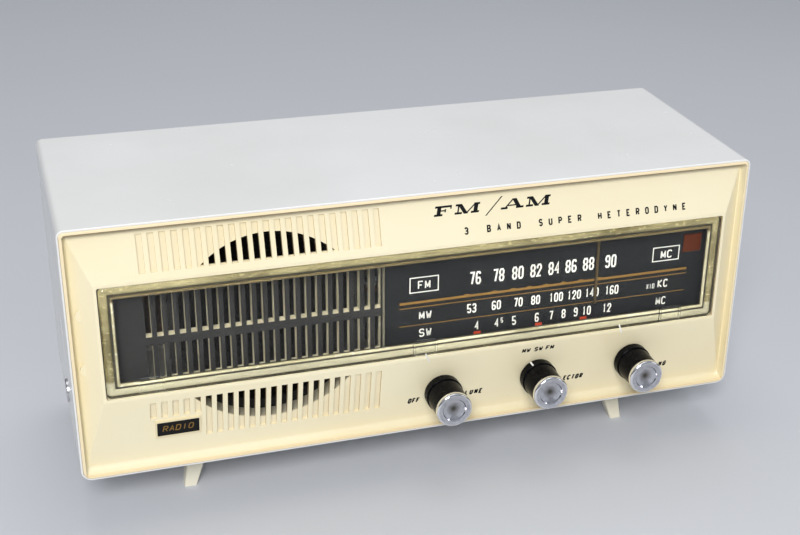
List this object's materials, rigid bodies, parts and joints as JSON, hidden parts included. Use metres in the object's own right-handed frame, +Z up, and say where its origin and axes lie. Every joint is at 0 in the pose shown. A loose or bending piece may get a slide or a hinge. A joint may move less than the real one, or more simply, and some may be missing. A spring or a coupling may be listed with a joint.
{
  "type": "table radio",
  "caption": "Low wide table radio: white shell, cream crowned front with slots, clear lens over grille and dial, knobs with bright caps, splayed feet, moving pointer.",
  "frame": {"origin": "middle of the bounding box at the underside of the feet", "axes": "+Z up, front faces -Y, +X to the right seen from the front"},
  "size_m": [0.3512, 0.1513, 0.1588],
  "materials": {
    "white_cabinet": "satin moulded off-white",
    "cream_panel": "gloss moulded ivory",
    "cream_grille": "satin",
    "cream_feet": "satin",
    "black_badge": "gloss black with a cream edge",
    "clear_acrylic": "clear, faintly yellowed",
    "charcoal_face": "matt charcoal paint",
    "divider_trim": "satin",
    "dial_print": "satin charcoal with printed scales",
    "red_jewel": "translucent red",
    "zinc_steel": "zinc plated",
    "bright_steel": "nickel plated",
    "white_nylon": "satin",
    "gold_pointer": "gold painted wire",
    "dial_string": "waxed string",
    "drum_plastic": "satin",
    "aluminium_plates": "mill finish",
    "brass_parts": "plain brass",
    "black_knob": "polished black",
    "spun_chrome": "spun bright metal",
    "control_case": "pressed case",
    "brown_laminate": "phenolic laminate",
    "tube_glass": "clear glass",
    "can_aluminium": "drawn can",
    "iron_core": "varnished iron",
    "grey_felt": "felt",
    "grey_paint": "grey paint",
    "paper_cone": "pressed paper",
    "brown_hardboard": "pressed hardboard",
    "ferrite_rod": "sintered ferrite",
    "black_rubber": "soft black rubber"
  },
  "bodies": {
    "cabinet": {"antenna_clips": "white_nylon", "antenna_terminals": "brown_laminate", "badge_plate": "black_badge", "cabinet_shell": "white_cabinet", "chassis": "zinc_steel", "chassis_bolts": "bright_steel", "component_board": "brown_laminate", "control_nuts": "bright_steel", "cord_grommet": "black_rubber", "cover_screws": "bright_steel", "dial_bracket": "zinc_steel", "dial_cord": "dial_string", "dial_lens": "clear_acrylic", "dial_plate": "dial_print", "earphone_jack": "bright_steel", "feet": "cream_feet", "ferrite_antenna": "ferrite_rod", "filter_capacitor": "can_aluminium", "front_panel": "cream_panel", "grille_face": "charcoal_face", "idler_pins": "bright_steel", "if_cans": "can_aluminium", "jack_nut": "bright_steel", "lamp_holder": "brass_parts", "output_transformer": "iron_core", "panel_screws": "zinc_steel", "pilot_jewel": "red_jewel", "pilot_lamp": "tube_glass", "pointer_rail": "bright_steel", "power_transformer": "iron_core", "rear_cover": "brown_hardboard", "selector_switch": "brown_laminate", "speaker_cone": "paper_cone", "speaker_frame": "grey_paint", "speaker_gasket": "grey_felt", "speaker_grille": "cream_grille", "speaker_magnet": "iron_core", "terminal_screws": "brass_parts", "tube_sockets": "brown_laminate", "tubes": "tube_glass", "tuning_bush": "brass_parts", "tuning_capacitor": "aluminium_plates", "volume_control": "control_case", "window_divider": "divider_trim"},
    "volume_control_shaft": {"volume_shaft": "bright_steel", "volume_knob": "black_knob", "volume_knob_cap": "spun_chrome"},
    "selector_control_shaft": {"selector_shaft": "bright_steel", "selector_knob": "black_knob", "selector_knob_cap": "spun_chrome"},
    "tuning_control_shaft": {"tuning_shaft": "brass_parts", "tuning_knob": "black_knob", "tuning_knob_cap": "spun_chrome"},
    "tuning_rotor": {"tuning_drum": "drum_plastic", "capacitor_rotor": "aluminium_plates"},
    "pointer": {"pointer_carriage": "white_nylon", "dial_pointer": "gold_pointer"},
    "left_cord_wheel": {"left_idler": "white_nylon"},
    "right_cord_wheel": {"right_idler": "white_nylon"}
  },
  "joints": [
    {"name": "volume_turn", "type": "hinge", "parent": "cabinet", "child": "volume_control_shaft", "pos_m": [0.008, -0.05235, 0.0495], "axis": [0, 1, 0], "range_deg": [0, 300]},
    {"name": "selector_turn", "type": "hinge", "parent": "cabinet", "child": "selector_control_shaft", "pos_m": [0.0608, -0.05235, 0.0499], "axis": [0, 1, 0], "range_deg": [0, 50]},
    {"name": "tuning_rotor_turn", "type": "hinge", "parent": "cabinet", "child": "tuning_rotor", "pos_m": [0.0726, -0.05235, 0.0905], "axis": [0, 1, 0], "range_deg": [-156.02, 23.98]},
    {"name": "tuning_knob_turn", "type": "hinge", "parent": "cabinet", "child": "tuning_control_shaft", "pos_m": [0.1148, -0.05235, 0.0509], "axis": [0, 1, 0], "range_deg": [-1287.8, 197.93]},
    {"name": "pointer_slide", "type": "slide", "parent": "cabinet", "child": "pointer", "axis": [1, 0, 0], "range_m": [-0.0709, 0.01098]},
    {"name": "left_cord_wheel_turn", "type": "hinge", "parent": "cabinet", "child": "left_cord_wheel", "pos_m": [-0.0094, -0.05235, 0.126], "axis": [0, 1, 0], "range_deg": [-872.38, 134.09]},
    {"name": "right_cord_wheel_turn", "type": "hinge", "parent": "cabinet", "child": "right_cord_wheel", "pos_m": [0.1326, -0.05235, 0.126], "axis": [0, 1, 0], "range_deg": [-872.38, 134.09]}
  ],
  "couplings": [
    {"joint": "tuning_knob_turn", "follows": "tuning_rotor_turn", "ratio": 8.254},
    {"joint": "pointer_slide", "follows": "tuning_rotor_turn", "m_per_rad": 0.026},
    {"joint": "left_cord_wheel_turn", "follows": "tuning_rotor_turn", "ratio": 5.5914},
    {"joint": "right_cord_wheel_turn", "follows": "tuning_rotor_turn", "ratio": 5.5914}
  ]
}
